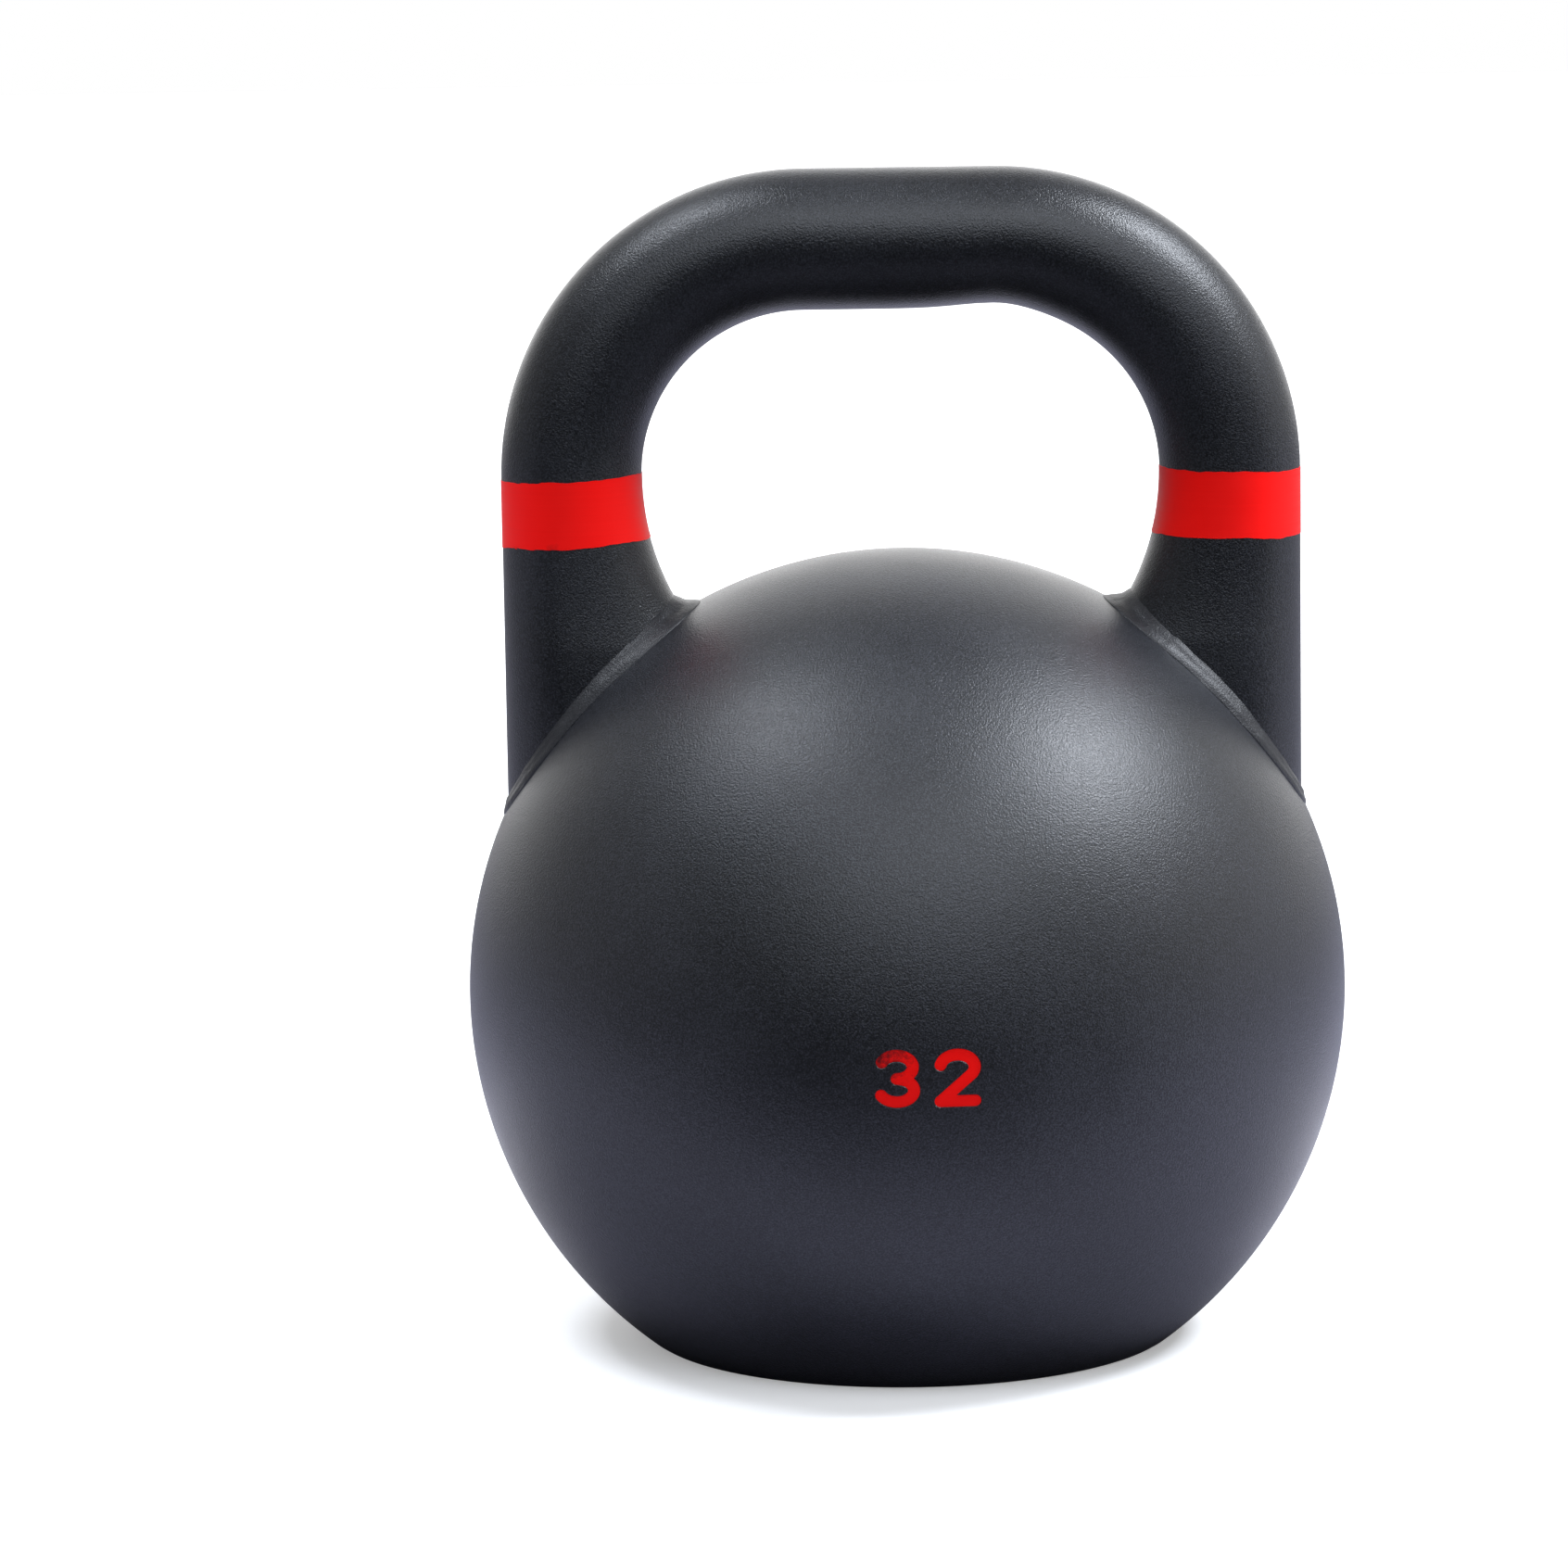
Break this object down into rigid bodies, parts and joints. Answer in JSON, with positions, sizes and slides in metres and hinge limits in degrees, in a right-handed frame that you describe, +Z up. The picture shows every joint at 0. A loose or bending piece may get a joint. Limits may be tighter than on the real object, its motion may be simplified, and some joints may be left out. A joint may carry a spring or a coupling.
{
  "type": "competition kettlebell",
  "caption": "Steel kettlebell: a large ball with a flat base and a wide bent bar handle welded on top, with coloured bands on the handle's legs.",
  "frame": {"origin": "middle of the flat base, at the height of the floor it stands on", "axes": "+Z up through the ball and the grip, +X along the grip to the right as the number is read, -Y the numbered front"},
  "size_m": [0.21, 0.21, 0.28],
  "materials": {
    "black_coat": "satin",
    "red_paint": "satin",
    "bare_steel": "satin",
    "steel_shot": "matte",
    "seal_rubber": "matte",
    "packing_felt": "matte"
  },
  "bodies": {
    "root": {"upper_shell": "black_coat", "lower_shell": "black_coat", "girth_weld": "black_coat", "seam_backing_ring": "bare_steel", "weight_digit_3": "red_paint", "weight_digit_2": "red_paint", "handle": "black_coat", "left_foot_weld": "black_coat", "right_foot_weld": "black_coat", "left_band": "red_paint", "right_band": "red_paint", "base_plate": "black_coat", "base_weld": "black_coat", "fill_plug": "bare_steel", "plug_seal": "seal_rubber", "packing_disc": "packing_felt", "steel_core": "bare_steel", "shot_fill": "steel_shot"}
  },
  "joints": []
}
